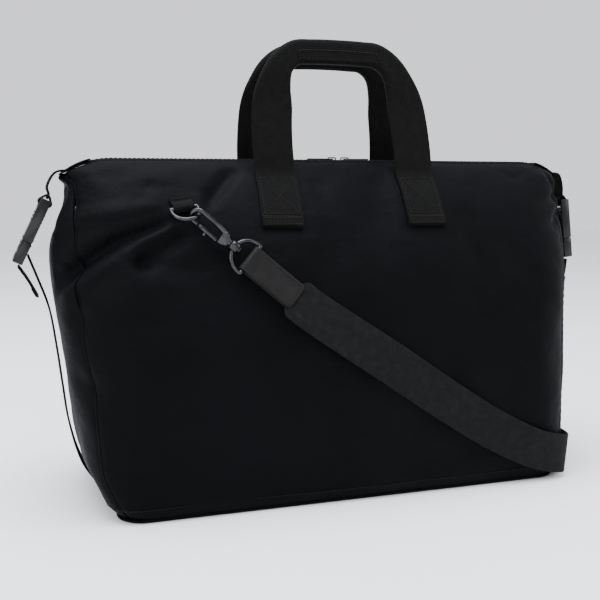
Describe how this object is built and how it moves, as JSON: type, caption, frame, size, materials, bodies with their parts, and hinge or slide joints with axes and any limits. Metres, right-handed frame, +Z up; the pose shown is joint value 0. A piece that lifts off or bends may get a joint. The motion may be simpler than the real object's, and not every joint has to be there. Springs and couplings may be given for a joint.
{
  "type": "weekender bag",
  "caption": "Soft fabric weekender bag with two webbing handles, a zipped top, cinched ends and a detachable shoulder strap.",
  "frame": {"origin": "middle of the base, on the surface that the bag stands on", "axes": "+X along the bag to the right, -Y to the front, +Z up"},
  "size_m": [0.5613, 0.2131, 0.4177],
  "materials": {
    "shell_fabric": "fine woven nylon with a soft bluish sheen",
    "lining_fabric": "plain thin lining cloth",
    "board": "stiffening board",
    "webbing": "dense black webbing",
    "strap_webbing": "ribbed dark grey webbing",
    "hardware": "glossy black plated metal",
    "plastic": "moulded glossy black",
    "leather": "matt grained dark leather"
  },
  "bodies": {
    "bag": {"front_panel": "shell_fabric", "right_end_panel": "shell_fabric", "back_panel": "shell_fabric", "left_end_panel": "shell_fabric", "base_panel": "shell_fabric", "base_board": "board", "lining": "lining_fabric", "zip_tape_front": "webbing", "zip_teeth_front": "plastic", "zip_tape_back": "webbing", "zip_teeth_back": "plastic", "zip_stop_left": "hardware", "zip_stop_right": "hardware", "front_handle_anchor_left": "webbing", "front_handle_anchor_right": "webbing", "back_handle_anchor_left": "webbing", "back_handle_anchor_right": "webbing", "front_ring_tab": "webbing", "front_strap_ring": "hardware", "strap_leather_tab": "leather", "back_ring_tab": "webbing", "back_strap_ring": "hardware", "shoulder_strap": "strap_webbing", "left_buckle_socket": "plastic", "left_wing_webbing": "webbing", "left_cinch_webbing": "webbing", "right_buckle_socket": "plastic", "right_wing_webbing": "webbing", "right_cinch_webbing": "webbing"},
    "zip_left": {"zip_slider_left": "hardware"},
    "zip_left_pull": {"zip_pull_left": "hardware"},
    "zip_right": {"zip_slider_right": "hardware"},
    "zip_right_pull": {"zip_pull_right": "hardware"},
    "front_handle": {"front_handle": "webbing"},
    "back_handle": {"back_handle": "webbing"},
    "front_ring": {"front_d_ring": "hardware"},
    "back_ring": {"back_d_ring": "hardware"},
    "front_hook": {"front_snap_hook": "hardware"},
    "front_gate": {"front_hook_gate": "hardware"},
    "back_hook": {"back_snap_hook": "hardware"},
    "back_gate": {"back_hook_gate": "hardware"},
    "left_clip": {"left_buckle_clip": "plastic", "left_webbing_tail": "webbing"},
    "right_clip": {"right_buckle_clip": "plastic", "right_webbing_tail": "webbing"},
    "adjuster": {"strap_adjuster": "hardware"}
  },
  "joints": [
    {"name": "zip_left_slide", "type": "slide", "parent": "bag", "child": "zip_left", "axis": [-1, 0, 0], "range_m": [0, 0.195]},
    {"name": "zip_left_pull_flip", "type": "hinge", "parent": "zip_left", "child": "zip_left_pull", "pos_m": [0.0055, 0, 0.3085], "axis": [0, 1, 0], "range_deg": [0, 90]},
    {"name": "zip_right_slide", "type": "slide", "parent": "bag", "child": "zip_right", "axis": [1, 0, 0], "range_m": [0, 0.176]},
    {"name": "zip_right_pull_flip", "type": "hinge", "parent": "zip_right", "child": "zip_right_pull", "pos_m": [0.0185, 0, 0.3085], "axis": [0, -1, 0], "range_deg": [0, 90]},
    {"name": "front_handle_fold", "type": "hinge", "parent": "bag", "child": "front_handle", "pos_m": [0, -0.03311, 0.29374], "axis": [1, 0, 0], "range_deg": [0, 108]},
    {"name": "back_handle_fold", "type": "hinge", "parent": "bag", "child": "back_handle", "pos_m": [0, 0.03311, 0.29374], "axis": [-1, 0, 0], "range_deg": [0, 108]},
    {"name": "front_ring_swing", "type": "hinge", "parent": "bag", "child": "front_ring", "pos_m": [-0.1498, -0.05818, 0.26416], "axis": [0.9848, 0.0895, 0.1488], "range_deg": [-3, 3]},
    {"name": "back_ring_swing", "type": "hinge", "parent": "bag", "child": "back_ring", "pos_m": [0.14704, 0.05818, 0.26416], "axis": [-0.9848, 0.0891, -0.1491], "range_deg": [-3, 3]},
    {"name": "front_hook_swivel", "type": "hinge", "parent": "bag", "child": "front_hook", "pos_m": [-0.13967, -0.07077, 0.25688], "axis": [0.7409, -0.1931, -0.6432], "range_deg": [-8, 8]},
    {"name": "front_gate_open", "type": "hinge", "parent": "front_hook", "child": "front_gate", "pos_m": [-0.1256, -0.07227, 0.23779], "axis": [0.4546, 0.8492, 0.2687], "range_deg": [0, 14], "stiffness_Nm_per_rad": 0.05, "springref_deg": -5.73},
    {"name": "back_hook_swivel", "type": "hinge", "parent": "bag", "child": "back_hook", "pos_m": [0.15134, 0.07328, 0.25447], "axis": [0.2745, 0.2202, -0.936], "range_deg": [-8, 8]},
    {"name": "back_gate_open", "type": "hinge", "parent": "back_hook", "child": "back_gate", "pos_m": [0.15749, 0.07252, 0.23152], "axis": [-0.9612, 0.0898, -0.2607], "range_deg": [0, 14], "stiffness_Nm_per_rad": 0.05, "springref_deg": -5.73},
    {"name": "left_buckle_release", "type": "slide", "parent": "bag", "child": "left_clip", "axis": [-0.4384, 0, -0.8988], "range_m": [0, 0.024], "deforming": ["left_cinch_webbing"]},
    {"name": "right_buckle_release", "type": "slide", "parent": "bag", "child": "right_clip", "axis": [0.1219, 0, -0.9925], "range_m": [0, 0.024], "deforming": ["right_cinch_webbing"]},
    {"name": "strap_adjuster_slide", "type": "slide", "parent": "bag", "child": "adjuster", "axis": [0.2745, 0.2202, -0.936], "range_m": [-0.012, 0.008]}
  ]
}
